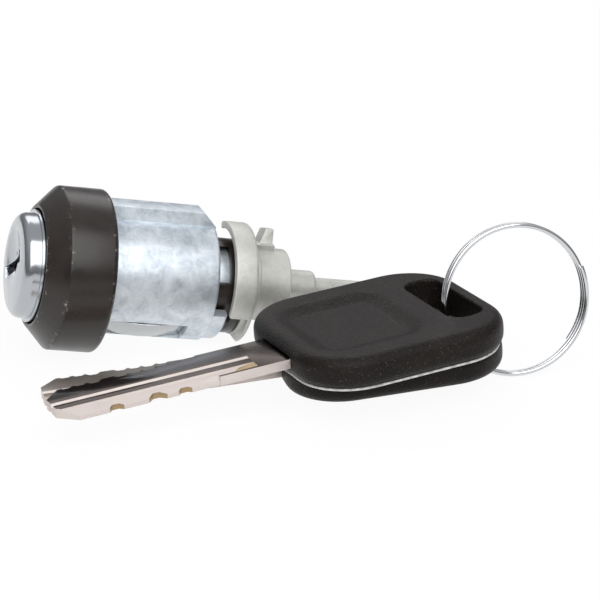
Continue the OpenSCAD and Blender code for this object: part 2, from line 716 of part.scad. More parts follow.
// rounded slot for the ring, across the head
module ring_hole() {
    at_corners(hole_x - hole_w / 2 + hole_corner, hole_x + hole_w / 2 - hole_corner, hole_len - 2 * hole_corner)
        translate([0, 0, -slack]) cylinder(r = hole_corner, h = head_t + 2 * slack);
    block([hole_x - hole_w / 2, -hole_len / 2 + hole_corner, -slack],
        [hole_x + hole_w / 2, hole_len / 2 - hole_corner, head_t + slack]);
    block([hole_x - hole_w / 2 + hole_corner, -hole_len / 2, -slack],
        [hole_x + hole_w / 2 - hole_corner, hole_len / 2, head_t + slack]);
}

// side of the head from its bottom face to its top face
function head_outline() = let (p = rounded([[0, 0, 0], [head_corner, 0, head_edge],
        [head_corner, head_t, head_edge], [0, head_t, 0]], 6)) [for (i = [1:len(p) - 2]) p[i]];

module key_head() {
    difference() {
        cushion(head_corner, head_len - head_corner, head_w - 2 * head_corner, head_outline());
        ring_hole();
        thumb_recess();
        translate([0, 0, head_t]) mirror([0, 0, 1]) thumb_recess();
        tang();
    }
}

// a section milled into the top face from the tip, that runs out in front of the head
module milled(section, depth, run, end) {
    top = blade_t / 2;
    intersection() {
        translate([0, 0, key_z]) rotate([90, 0, -90]) linear_extrude(blade_len + slack) polygon(section);
        translate([0, blade_w, key_z]) rotate([90, 0, 0]) linear_extrude(2 * blade_w) polygon([
            [-blade_len - 2 * slack, top - depth - slack], [-end - run, top - depth - slack],
            [-end, top + slack / 2], [-blade_len - 2 * slack, top + 2 * slack]]);
    }
}

// the land along one edge of the top face, and the groove beside it
module milling() {
    top = blade_t / 2;
    e = blade_w / 2;
    inner = e - land_w;
    groove = inner - ridge_w;
    floor_x = groove - slack - groove_w;
    milled([[inner, top + slack], [inner, top], [inner + slack, top - land_step], [e + slack, top - land_drop],
        [e + slack, top + slack]], land_drop, 8, land_end);
    milled([[floor_x - groove_depth - slack, top + slack], [floor_x, top - groove_depth],
        [floor_x + groove_w, top - groove_depth], [groove, top], [groove, top + slack]], groove_depth, 4, groove_end);
}

// one cut into an edge of the blade, with sloped flanks
module key_cut(i, side, depth) {
    x = -blade_len + first_cut + (i - 1) * wafer_pitch;
    e = blade_w / 2;
    translate([0, 0, key_z - blade_t]) linear_extrude(2 * blade_t) polygon([
        [x - cut_flat / 2 - depth, side * e], [x - cut_flat / 2 - depth, side * (e + slack)],
        [x + cut_flat / 2 + depth, side * (e + slack)], [x + cut_flat / 2 + depth, side * e],
        [x + cut_flat / 2, side * (e - depth)], [x - cut_flat / 2, side * (e - depth)]]);
}

// strip that widens the neck past the edge of the blade, where the key stops at the lock's face
module neck_strip() {
    block([-neck_len, -blade_w / 2 - neck_step, key_z - blade_t / 2], [0, neck_step - blade_w / 2, key_z + blade_t / 2]);
}

// turned half way round the blade's axis
module other_side() { translate([0, 0, key_z]) rotate([180, 0, 0]) translate([0, 0, -key_z]) children(); }

module key_blade() {
    tip = (blade_w - tip_w) / 2;
    difference() {
        union() {
            difference() {
                block([-blade_len, -blade_w / 2, key_z - blade_t / 2], [tang_len, blade_w / 2, key_z + blade_t / 2]);
                milling();
                other_side() milling();
            }
            neck_strip();
            other_side() neck_strip();
        }
        for (s = [-1, 1]) translate([-blade_len, s * blade_w / 2, 0]) linear_extrude(head_t)
            polygon([[-slack, s * slack], [tip, s * slack], [tip, 0], [0, -s * tip], [-slack, -s * tip]]);
        for (i = [1:len(near_cuts)]) {
            if (near_cuts[i - 1] > 0) key_cut(i, -1, near_cuts[i - 1]);
            if (far_cuts[i - 1] > 0) key_cut(i, 1, far_cuts[i - 1]);
        }
    }
}

module upper_key_head() { color(soft_black) in_upper_key() key_head(); }
module upper_key_blade() { color("#d9d3cf") in_upper_key() key_blade(); }
module lower_key_head() { color(soft_black) in_lower_key() key_head(); }
module lower_key_blade() { color("#d9d3cf") in_lower_key() key_blade(); }

module split_ring() {
    color("#c8cacc") translate([ring_place.x, ring_place.y, ring_z]) rotate([90 - ring_lean, 0, 0])
        rotate(ring_from) coil(ring_r, ring_wire, ring_turns, 10, 56,
            function (t) ring_turns * ring_step * (t - 0.5));
}

bezel();
barrel();
retaining_leaf();
neck_sleeve();
plug();
face_cap();
shutter();
shutter_pin();
shutter_spring();
stop_pin();
retaining_clip();
tail();
drive_pin();
for (i = [1:wafer_count]) wafer(i);
for (i = [1:wafer_count]) wafer_spring(i);
upper_key_head();
upper_key_blade();
lower_key_head();
lower_key_blade();
split_ring();
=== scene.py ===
import json
import math

import bmesh
import bpy
from mathutils import Matrix, Vector

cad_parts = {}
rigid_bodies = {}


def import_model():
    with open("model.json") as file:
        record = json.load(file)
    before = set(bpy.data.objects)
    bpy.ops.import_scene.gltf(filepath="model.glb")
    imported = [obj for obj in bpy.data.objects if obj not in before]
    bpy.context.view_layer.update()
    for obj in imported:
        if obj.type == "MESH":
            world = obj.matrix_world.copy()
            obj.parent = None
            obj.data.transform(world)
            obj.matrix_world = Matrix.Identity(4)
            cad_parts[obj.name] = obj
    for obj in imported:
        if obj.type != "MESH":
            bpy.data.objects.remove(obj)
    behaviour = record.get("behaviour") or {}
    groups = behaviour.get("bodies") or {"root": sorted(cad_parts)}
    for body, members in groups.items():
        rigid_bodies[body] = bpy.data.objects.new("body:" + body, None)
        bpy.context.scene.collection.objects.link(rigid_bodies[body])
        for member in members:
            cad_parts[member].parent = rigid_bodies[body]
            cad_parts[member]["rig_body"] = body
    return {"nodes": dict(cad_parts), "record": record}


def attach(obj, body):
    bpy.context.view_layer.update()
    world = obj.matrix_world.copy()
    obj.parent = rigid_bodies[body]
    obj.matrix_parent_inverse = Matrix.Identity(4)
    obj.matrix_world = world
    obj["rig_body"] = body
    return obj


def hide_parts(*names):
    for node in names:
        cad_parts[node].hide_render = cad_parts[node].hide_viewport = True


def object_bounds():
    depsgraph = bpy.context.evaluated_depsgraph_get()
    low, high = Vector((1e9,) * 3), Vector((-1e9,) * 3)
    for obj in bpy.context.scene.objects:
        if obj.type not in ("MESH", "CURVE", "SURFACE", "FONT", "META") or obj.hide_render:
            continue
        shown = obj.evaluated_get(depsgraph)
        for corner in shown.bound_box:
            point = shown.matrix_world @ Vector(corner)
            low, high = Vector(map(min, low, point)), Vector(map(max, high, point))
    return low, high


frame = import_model()
cadBox = [list(corner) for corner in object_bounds()]
nodes = frame["nodes"]
slotOf = {row["node"]: row["material_slot"] for row in frame["record"]["subparts"]}
scene = bpy.context.scene
scene.view_settings.view_transform = "Standard"
mm = 0.001
floorZ = cadBox[0][2]

# how the lock lies: its axis dips towards the tail, and places along it count from the bezel's back face
lockLie = {"dip": 10.4, "coneEdge": -9.5, "backEdge": -0.6, "lip": -13.5}

# how the keys lie: places of the heads' blade ends, from the CAD frame
keyLie = {"pitch": 4.0, "lift": 0.962, "lowerPlace": (28.93, -28.91), "lowerYaw": -3.4,
          "upperPlace": (26.24, -40.81), "upperYaw": 9.2, "stack": 6.55}


# shared helpers

def linear(hexText):
    # sRGB hex to the linear numbers that shaders take
    values = [int(hexText[i:i + 2], 16) / 255 for i in (1, 3, 5)]
    return [v / 12.92 if v <= 0.04045 else ((v + 0.055) / 1.055) ** 2.4 for v in values] + [1.0]


def addNode(tree, kind, settings=None, **inputs):
    # settings are node properties; inputs are values, or (node, output) pairs to link
    # a socket is named with _ for a space, or i0, i1 by its place
    node = tree.nodes.new(kind)
    for key, value in (settings or {}).items():
        setattr(node, key, value)
    for key, value in inputs.items():
        byPlace = key[0] == "i" and key[1:].isdigit()
        socket = node.inputs[int(key[1:])] if byPlace else node.inputs[key.replace("_", " ")]
        if isinstance(value, tuple) and hasattr(value[0], "outputs"):
            tree.links.new(value[0].outputs[value[1]], socket)
        else:
            socket.default_value = value
    return node


def perMm(size):
    # texture scale at which one feature is this many millimetres across
    return 1 / (size * mm)


def newMaterial(name):
    material = bpy.data.materials.new(name)
    material.use_nodes = True
    tree = material.node_tree
    return material, tree, tree.nodes["Principled BSDF"], addNode(tree, "ShaderNodeTexCoord")


def ramp(tree, source, stops):
    # stops are (position, hex colour)
    node = addNode(tree, "ShaderNodeValToRGB", i0=source)
    elements = node.color_ramp.elements
    while len(elements) < len(stops):
        elements.new(0.5)
    for element, (place, color) in zip(elements, stops):
        element.position = place
        element.color = linear(color)
    return node


def join(tree, source, shader, socketName):
    tree.links.new(source[0].outputs[source[1]], shader.inputs[socketName])


# materials

def mouldedAbs():
    # black ABS, injection moulded: satin, a hair uneven in gloss, with pale nicks along its handled edges
    material, tree, shader, coords = newMaterial("moulded_black_abs")
    where = (coords, "Object")
    patches = addNode(tree, "ShaderNodeTexNoise", Vector=where, Scale=perMm(4), Detail=4.0)
    grain = addNode(tree, "ShaderNodeTexNoise", Vector=where, Scale=perMm(0.3), Detail=2.0)
    chips = addNode(tree, "ShaderNodeTexNoise", Vector=where, Scale=perMm(1.4), Detail=4.0, Roughness=0.7)
    tint = ramp(tree, (patches, "Fac"), [(0.3, "#1c1512"), (0.7, "#251d18")])
    along = addNode(tree, "ShaderNodeMapping", Vector=where, Rotation=(0, -math.radians(lockLie["dip"]), 0))
    split = addNode(tree, "ShaderNodeSeparateXYZ", Vector=(along, "Vector"))
    worn = None
    for edge in ("coneEdge", "backEdge", "lip"):
        off = addNode(tree, "ShaderNodeMath", {"operation": "SUBTRACT"}, i0=(split, "X"),
                      i1=lockLie[edge] * mm)
        off = addNode(tree, "ShaderNodeMath", {"operation": "ABSOLUTE"}, i0=(off, "Value"))
        band = addNode(tree, "ShaderNodeMapRange", Value=(off, "Value"), From_Min=0.15 * mm,
                       From_Max=0.7 * mm, To_Min=1.0, To_Max=0.0)
        if worn is not None:
            band = addNode(tree, "ShaderNodeMath", {"operation": "MAXIMUM"}, i0=(worn, 0),
                           i1=(band, "Result"))
        worn = band
    chip = addNode(tree, "ShaderNodeMapRange", Value=(chips, "Fac"), From_Min=0.585, From_Max=0.68)
    nick = addNode(tree, "ShaderNodeMath", {"operation": "MULTIPLY"}, i0=(chip, "Result"), i1=(worn, 0))
    color = addNode(tree, "ShaderNodeMix", {"data_type": "RGBA"}, i0=(nick, "Value"), i6=(tint, "Color"),
                    i7=linear("#a39c95"))
    gloss = addNode(tree, "ShaderNodeMapRange", Value=(patches, "Fac"), From_Min=0.3, From_Max=0.7,
                    To_Min=0.26, To_Max=0.34)
    bump = addNode(tree, "ShaderNodeBump", Height=(grain, "Fac"), Strength=0.1, Distance=0.04 * mm)
    join(tree, (color, 2), shader, "Base Color")
    join(tree, (gloss, "Result"), shader, "Roughness")
    join(tree, (bump, "Normal"), shader, "Normal")
    shader.inputs["IOR"].default_value = 1.53
    shader.inputs["Specular IOR Level"].default_value = 0.5
    return material


def sparkTexturedPlastic():
    # polypropylene from a spark-eroded mould: near black and matt, with tiny pips that catch the light
    # the pips are drawn about twice as coarse as real ones so that they show
    material, tree, shader, coords = newMaterial("spark_textured_plastic")
    where = (coords, "Object")
    pips = addNode(tree, "ShaderNodeTexVoronoi", Vector=where, Scale=perMm(0.45))
    fine = addNode(tree, "ShaderNodeTexNoise", Vector=where, Scale=perMm(0.3), Detail=3.0)
    rub = addNode(tree, "ShaderNodeTexNoise", Vector=where, Scale=perMm(7), Detail=3.0)
    dust = addNode(tree, "ShaderNodeTexNoise", Vector=where, Scale=perMm(0.3), Detail=1.0)
    both = addNode(tree, "ShaderNodeMath", {"operation": "ADD"}, i0=(pips, "Distance"), i1=(fine, "Fac"))
    tint = ramp(tree, (rub, "Fac"), [(0.3, "#15110f"), (0.75, "#1f1a17")])
    speck = addNode(tree, "ShaderNodeMapRange", Value=(dust, "Fac"), From_Min=0.64, From_Max=0.8, To_Max=0.5)
    color = addNode(tree, "ShaderNodeMix", {"data_type": "RGBA"}, i0=(speck, "Result"), i6=(tint, "Color"),
                    i7=linear("#6a6866"))
    bump = addNode(tree, "ShaderNodeBump", Height=(both, "Value"), Strength=0.85, Distance=0.08 * mm)
    join(tree, (color, 2), shader, "Base Color")
    join(tree, (bump, "Normal"), shader, "Normal")
    shader.inputs["Roughness"].default_value = 0.44
    shader.inputs["IOR"].default_value = 1.49
    shader.inputs["Specular IOR Level"].default_value = 0.16
    return material


def seamPaintedHighlight():
    # pale grey for the bead along the head's mould seam: a painted highlight, mottled at random
    material, tree, shader, coords = newMaterial("seam_bead_painted_highlight")
    tintNoise = addNode(tree, "ShaderNodeTexNoise", Vector=(coords, "Object"), Scale=perMm(1.2), Detail=3.0)
    tint = ramp(tree, (tintNoise, "Fac"), [(0.35, "#a9a8a6"), (0.65, "#d8d7d5")])
    join(tree, (tint, "Color"), shader, "Base Color")
    shader.inputs["Roughness"].default_value = 0.5
    return material


def bareZinc():
    # zinc alloy, die cast and left bare: bluish, half bright, with cloudy flow marks and small pits
    material, tree, shader, coords = newMaterial("bare_die_cast_zinc")
    where = (coords, "Object")
    clouds = addNode(tree, "ShaderNodeTexNoise", Vector=where, Scale=perMm(3), Detail=8.0, Roughness=0.7,
                     Distortion=0.5)
    flow = addNode(tree, "ShaderNodeTexNoise", Vector=where, Scale=perMm(1.3), Detail=5.0, Distortion=0.6)
    pits = addNode(tree, "ShaderNodeTexVoronoi", Vector=where, Scale=perMm(1.9))
    pit = addNode(tree, "ShaderNodeMapRange", Value=(pits, "Distance"), From_Min=0.0, From_Max=0.22)
    tint = ramp(tree, (clouds, "Fac"), [(0.34, "#b7c0c7"), (0.5, "#d2dae1"), (0.66, "#e6ecf2")])
    gloss = addNode(tree, "ShaderNodeMapRange", Value=(flow, "Fac"), From_Min=0.3, From_Max=0.7,
                    To_Min=0.36, To_Max=0.5)
    low = addNode(tree, "ShaderNodeBump", Height=(flow, "Fac"), Strength=0.2, Distance=0.06 * mm)
    bump = addNode(tree, "ShaderNodeBump", Height=(pit, "Result"), Strength=0.16, Distance=0.05 * mm,
                   Normal=(low, "Normal"))
    join(tree, (tint, "Color"), shader, "Base Color")
    join(tree, (gloss, "Result"), shader, "Roughness")
    join(tree, (bump, "Normal"), shader, "Normal")
    shader.inputs["Metallic"].default_value = 0.72
    return material


def tumbledZinc():
    # zinc alloy, die cast and tumbled: warm pale grey, matt, with grey specks where the skin is rubbed
    material, tree, shader, coords = newMaterial("tumbled_die_cast_zinc")
    where = (coords, "Object")
    clouds = addNode(tree, "ShaderNodeTexNoise", Vector=where, Scale=perMm(6), Detail=5.0)
    specks = addNode(tree, "ShaderNodeTexNoise", Vector=where, Scale=perMm(0.7), Detail=3.0)
    skin = addNode(tree, "ShaderNodeTexNoise", Vector=where, Scale=perMm(0.35), Detail=3.0)
    mixed = addNode(tree, "ShaderNodeMath", {"operation": "MULTIPLY_ADD"}, i0=(specks, "Fac"), i1=0.5,
                    i2=(clouds, "Fac"))
    tint = ramp(tree, (mixed, "Value"), [(0.5, "#b9b9b2"), (0.72, "#c8c8c2"), (0.95, "#d2d2cd")])
    bump = addNode(tree, "ShaderNodeBump", Height=(skin, "Fac"), Strength=0.22, Distance=0.05 * mm)
    join(tree, (tint, "Color"), shader, "Base Color")
    join(tree, (bump, "Normal"), shader, "Normal")
    shader.inputs["Metallic"].default_value = 0.4
    shader.inputs["Roughness"].default_value = 0.46
    return material


def polishedMetal(name, color, roughness, lineMm, stretch, strength, yaw=0.0, metallic=1.0):
    # bright metal with drawing or milling lines: stretch is how many times longer than wide they are
    material, tree, shader, coords = newMaterial(name)
    turned = addNode(tree, "ShaderNodeMapping", Vector=(coords, "Object"),
                     Rotation=(0, 0, -math.radians(yaw)))
    drawn = addNode(tree, "ShaderNodeMapping", Vector=(turned, "Vector"), Scale=(1 / stretch, 1, 1))
    lines = addNode(tree, "ShaderNodeTexNoise", Vector=(drawn, "Vector"), Scale=perMm(lineMm), Detail=3.0)
    smears = addNode(tree, "ShaderNodeTexNoise", Vector=(coords, "Object"), Scale=perMm(4), Detail=3.0)
    both = addNode(tree, "ShaderNodeMath", {"operation": "ADD"}, i0=(lines, "Fac"), i1=(smears, "Fac"))
    gloss = addNode(tree, "ShaderNodeMapRange", Value=(both, "Value"), From_Min=0.7, From_Max=1.3,
                    To_Min=roughness * 0.7, To_Max=roughness * 1.35)
    bump = addNode(tree, "ShaderNodeBump", Height=(lines, "Fac"), Strength=strength, Distance=0.02 * mm)
    join(tree, (gloss, "Result"), shader, "Roughness")
    join(tree, (bump, "Normal"), shader, "Normal")
    shader.inputs["Base Color"].default_value = linear(color)
    shader.inputs["Metallic"].default_value = metallic
    return material


finishes = {
    "black_moulding": mouldedAbs(),
    "key_moulding": sparkTexturedPlastic(),
    "zinc_casting": bareZinc(),
    "tail_casting": tumbledZinc(),
    "chromed_face": polishedMetal("chrome_plate", "#b6babe", roughness=0.18, lineMm=0.6, stretch=1,
                                  strength=0.02),
    "spring_steel": polishedMetal("bright_spring_steel", "#b4b7b9", roughness=0.2, lineMm=0.3, stretch=8,
                                  strength=0.1),
    "wafer_brass": polishedMetal("stamped_brass", "#c7a25a", roughness=0.3, lineMm=0.3, stretch=6,
                                 strength=0.1),
    "polished_steel": polishedMetal("polished_steel_wire", "#d4d6d8", roughness=0.12, lineMm=0.4, stretch=1,
                                    strength=0.0)}
# the blank's skin is bright and flat, and the dark room it mirrors is painted into its colour as a dark
# reflection, the lower key's less dark than the upper's
# the milled faces scatter and stay pale, and milling lines run along the blades
bladeLines = {"lineMm": 0.2, "stretch": 14}
bladeSkinPaintedReflection = {
    "upper": polishedMetal("nickel_painted_dark_reflection_upper_key", "#463d3a", roughness=0.2, strength=0.04,
                           yaw=keyLie["upperYaw"], **bladeLines),
    "lower": polishedMetal("nickel_painted_dim_reflection_lower_key", "#9d958e", roughness=0.42, strength=0.04,
                           yaw=keyLie["lowerYaw"], metallic=0.7, **bladeLines)}
milledNickel = {
    which: polishedMetal("milled_nickel_" + which + "_key", "#d6ccc7", roughness=0.55, strength=0.08,
                         yaw=keyLie[which + "Yaw"], metallic=0.5, **bladeLines)
    for which in ("upper", "lower")}
milledBrass = polishedMetal("milled_brass", "#ab9574", roughness=0.4, lineMm=0.2, stretch=1, strength=0.15)
# the flap is coloured near black as painted shade, so the shut slot still looks dark
flapPaintedSlotShade = polishedMetal("spring_steel_painted_slot_shade", "#2a2c30", roughness=0.35, lineMm=0.3, stretch=8,
                           strength=0.1)
print("materials:", len(bpy.data.materials))


# CAD solids with their edges broken, as the tool and the mould leave them

cleanUp = {"mergeMm": 0.002, "flatDegrees": 0.4}
softUnder = {"castings": 35, "heads": 80, "beads": 50, "blades": 30}


def bakeModifiers(piece):
    # the evaluated mesh takes the place of the stack
    graph = bpy.context.evaluated_depsgraph_get()
    mesh = bpy.data.meshes.new_from_object(piece.evaluated_get(graph))
    piece.modifiers.clear()
    piece.data = mesh


def copyOf(nodeName, pieceName):
    # loose triangles are merged, and flat faces become one face each
    mesh = nodes[nodeName].data.copy()
    work = bmesh.new()
    work.from_mesh(mesh)
    bmesh.ops.remove_doubles(work, verts=work.verts, dist=cleanUp["mergeMm"] * mm)
    bmesh.ops.dissolve_limit(work, angle_limit=math.radians(cleanUp["flatDegrees"]), verts=work.verts,
                             edges=work.edges)
    work.to_mesh(mesh)
    work.free()
    mesh.materials.clear()
    piece = bpy.data.objects.new(pieceName, mesh)
    scene.collection.objects.link(piece)
    return piece


def breakEdges(piece, width, segments=3, sharper=38):
    bevel = piece.modifiers.new("broken edge", "BEVEL")
    bevel.width = width * mm
    bevel.segments = segments
    bevel.limit_method = "ANGLE"
    bevel.angle_limit = math.radians(sharper)
    bevel.use_clamp_overlap = True
    bakeModifiers(piece)


def shadeByAngle(mesh, degrees):
    work = bmesh.new()
    work.from_mesh(mesh)
    for face in work.faces:
        face.smooth = True
    for edge in work.edges:
        edge.smooth = len(edge.link_faces) == 2 and edge.calc_face_angle(0) < math.radians(degrees)
    work.to_mesh(mesh)
    work.free()


def settle(piece, nodeName):
    # the piece rides where its node rides, and stands for it
    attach(piece, nodes[nodeName]["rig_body"])
    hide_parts(nodeName)


brokenEdges = {"bezel": 0.25, "barrel": 0.3, "tail": 0.35, "neck_sleeve": 0.2, "face_cap": 0.25,
               "retaining_leaf": 0.08, "plug": 0.15}
for nodeName, width in brokenEdges.items():
    piece = copyOf(nodeName, nodeName + "_finished")
    breakEdges(piece, width)
    shadeByAngle(piece.data, softUnder["castings"])
    piece.data.materials.append(finishes[slotOf[nodeName]])
    settle(piece, nodeName)
print("finished castings and mouldings:", len(brokenEdges))


# where each key lies

def keyMatrix(which):
    start = Vector((*keyLie["lowerPlace"], floorZ / mm + keyLie["lift"]))
    stack = Matrix.Translation(start) @ Matrix.Rotation(-math.radians(keyLie["pitch"]), 4, "Y")
    if which == "lower":
        return stack @ Matrix.Rotation(math.radians(keyLie["lowerYaw"]), 4, "Z")
    shift = Vector((*keyLie["upperPlace"], 0)) - Vector((*keyLie["lowerPlace"], 0))
    shift.z = keyLie["stack"]
    return stack @ Matrix.Translation(shift) @ Matrix.Rotation(math.radians(keyLie["upperYaw"]), 4, "Z")


def keyPlaces(which, mesh):
    # each vertex in the key's own millimetres: x from the blade's end of the head, y across, z up
    back = keyMatrix(which).inverted()
    return [back @ (vertex.co / mm) for vertex in mesh.vertices]


# key heads: soft moulded edges all round, and a thumb recess that fades into the face

headForm = {"length": 43.6, "width": 39.0, "corner": 11.8, "thick": 6.4, "voxel": 0.3, "smoothing": 0.5,
            "edgeSmoothing": 10, "recessSmoothing": 12, "keepRim": 2.6, "fade": 2.0, "holeFrom": 32.6,
            "keepHole": 2.0, "faceFrom": 1.7}


def rimDistance(place):
    # how far a place lies inside the head's rounded outline, seen from above
    half = (headForm["length"] / 2, headForm["width"] / 2)
    away = [abs(place.x - half[0]) - half[0] + headForm["corner"],
            abs(place.y) - half[1] + headForm["corner"]]
    outside = math.hypot(max(away[0], 0), max(away[1], 0)) + min(max(away), 0)
    return headForm["corner"] - outside


for which in ("upper", "lower"):
    nodeName = which + "_key_head"
    piece = copyOf(nodeName, nodeName + "_moulded")
    remesh = piece.modifiers.new("even skin", "REMESH")
    remesh.mode = "VOXEL"
    remesh.voxel_size = headForm["voxel"] * mm
    smooth = piece.modifiers.new("soft edges", "SMOOTH")
    smooth.factor = headForm["smoothing"]
    smooth.iterations = headForm["edgeSmoothing"]
    bakeModifiers(piece)
    group = piece.vertex_groups.new(name="recess")
    for index, place in enumerate(keyPlaces(which, piece.data)):
        inside = min(rimDistance(place) - headForm["keepRim"],
                     headForm["holeFrom"] - headForm["keepHole"] - place.x)
        onFace = abs(place.z - headForm["thick"] / 2) > headForm["faceFrom"]
        weight = min(max(inside / headForm["fade"], 0), 1) if onFace else 0
        group.add([index], weight, "REPLACE")
    smooth = piece.modifiers.new("soft recess", "SMOOTH")
    smooth.factor = headForm["smoothing"]
    smooth.iterations = headForm["recessSmoothing"]
    smooth.vertex_group = "recess"
    bakeModifiers(piece)
    shadeByAngle(piece.data, softUnder["heads"])
    piece.data.materials.append(finishes["key_moulding"])
    settle(piece, nodeName)
print("key heads moulded")


# pale bead along the upper head's lower edge, where the mould's halves met; its pale colour is a painted
# highlight

seamForm = {"inset": 1.1, "radius": 0.25, "height": 0.12, "sides": 8, "arc": 12}


def seamTree(material):
    tree = bpy.data.node_groups.new("seam highlight bead", "GeometryNodeTree")
    tree.interface.new_socket("Geometry", in_out="OUTPUT", socket_type="NodeSocketGeometry")
    sockets = {name: tree.interface.new_socket(name, in_out="INPUT", socket_type="NodeSocketFloat").identifier
               for name in ("Length", "Width", "Corner", "Bead")}
    given = addNode(tree, "NodeGroupInput")
    outline = addNode(tree, "GeometryNodeCurvePrimitiveQuadrilateral", i0=(given, "Length"),
                      i1=(given, "Width"))
    rounded = addNode(tree, "GeometryNodeFilletCurve", {"mode": "POLY"}, Curve=(outline, "Curve"),
                      Radius=(given, "Corner"), Count=seamForm["arc"])
    section = addNode(tree, "GeometryNodeCurvePrimitiveCircle", Resolution=seamForm["sides"],
                      Radius=(given, "Bead"))
    bead = addNode(tree, "GeometryNodeCurveToMesh", Curve=(rounded, "Curve"),
                   Profile_Curve=(section, "Curve"))
    lie = keyMatrix("upper")
    middle = lie @ Vector((headForm["length"] / 2, 0, seamForm["height"]))
    laid = addNode(tree, "GeometryNodeTransform", Geometry=(bead, "Mesh"), Translation=middle * mm,
                   Rotation=lie.to_euler())
    plain = addNode(tree, "GeometryNodeRealizeInstances", Geometry=(laid, "Geometry"))
    dressed = addNode(tree, "GeometryNodeSetMaterial", Geometry=(plain, "Geometry"), Material=material)
    addNode(tree, "NodeGroupOutput", Geometry=(dressed, "Geometry"))
    return tree, sockets


def growByNodes(pieceName, tree, sockets, sizes):
    # a piece made by its node tree alone, left as a plain mesh
    piece = bpy.data.objects.new(pieceName, bpy.data.meshes.new(pieceName))
    scene.collection.objects.link(piece)
    grown = piece.modifiers.new("grown", "NODES")
    grown.node_group = tree
    for name, value in sizes.items():
        grown[sockets[name]] = value
    bakeModifiers(piece)
    shadeByAngle(piece.data, softUnder["beads"])
    return piece


tree, sockets = seamTree(seamPaintedHighlight())
seamSizes = {"Length": (headForm["length"] - 2 * seamForm["inset"]) * mm,
             "Width": (headForm["width"] - 2 * seamForm["inset"]) * mm,
             "Corner": (headForm["corner"] - seamForm["inset"]) * mm, "Bead": seamForm["radius"] * mm}
seam = growByNodes("upper_key_seam_highlight", tree, sockets, seamSizes)
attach(seam, nodes["upper_key_head"]["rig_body"])
print("seam trimmed")


# key blades: painted dark reflection on the blank's two faces, pale milling and edges, brass bare in the cuts

# flat, level and steep compare the upright part of a face's normal
bladeForm = {"half": 5.8, "middle": 3.2, "thick": 1.9, "neckFrom": -14.5, "tipFrom": -42.4, "landFrom": -14.2,
             "edge": 0.06, "edgeSegments": 2, "edgeSharper": 30, "cutFrom": 3.5, "cutClear": 0.04,
             "skinDepth": 0.02, "flat": 0.999, "level": 0.8, "steep": 0.6}
bladeParts = {"milled": 0, "skin": 1, "brass": 2}
for which in ("upper", "lower"):
    nodeName = which + "_key_blade"
    piece = copyOf(nodeName, nodeName + "_milled")
    breakEdges(piece, bladeForm["edge"], bladeForm["edgeSegments"], bladeForm["edgeSharper"])
    shadeByAngle(piece.data, softUnder["blades"])
    for material in (milledNickel[which], bladeSkinPaintedReflection[which], milledBrass):
        piece.data.materials.append(material)
    back = keyMatrix(which).inverted()
    turn = back.to_3x3()
    for face in piece.data.polygons:
        place = back @ (face.center / mm)
        tilt = abs((turn @ face.normal).z)
        height = abs(place.z - bladeForm["middle"])
        aside = abs(place.y)
        cutLength = bladeForm["tipFrom"] < place.x < bladeForm["neckFrom"]
        inCut = cutLength and bladeForm["cutFrom"] < aside < bladeForm["half"] - bladeForm["cutClear"]
        onSkin = height > bladeForm["thick"] / 2 - bladeForm["skinDepth"]
        onLandEnd = place.x > bladeForm["landFrom"] and aside > bladeForm["cutFrom"]
        if tilt > bladeForm["flat"] and onSkin:
            face.material_index = bladeParts["skin"]
        elif tilt < bladeForm["steep"] and inCut:
            face.material_index = bladeParts["brass"]
        elif tilt > bladeForm["level"] and onLandEnd:
            face.material_index = bladeParts["brass"]
    settle(piece, nodeName)
print("key blades milled")


# split ring: wire wound in a little over two turns

ringForm = {"outer": 30.4, "wire": 1.0, "lean": 10.0, "from": -40.0, "turns": 2.17, "gap": 0.05,
            "place": (75.3, -37.4), "points": 300, "sides": 16}


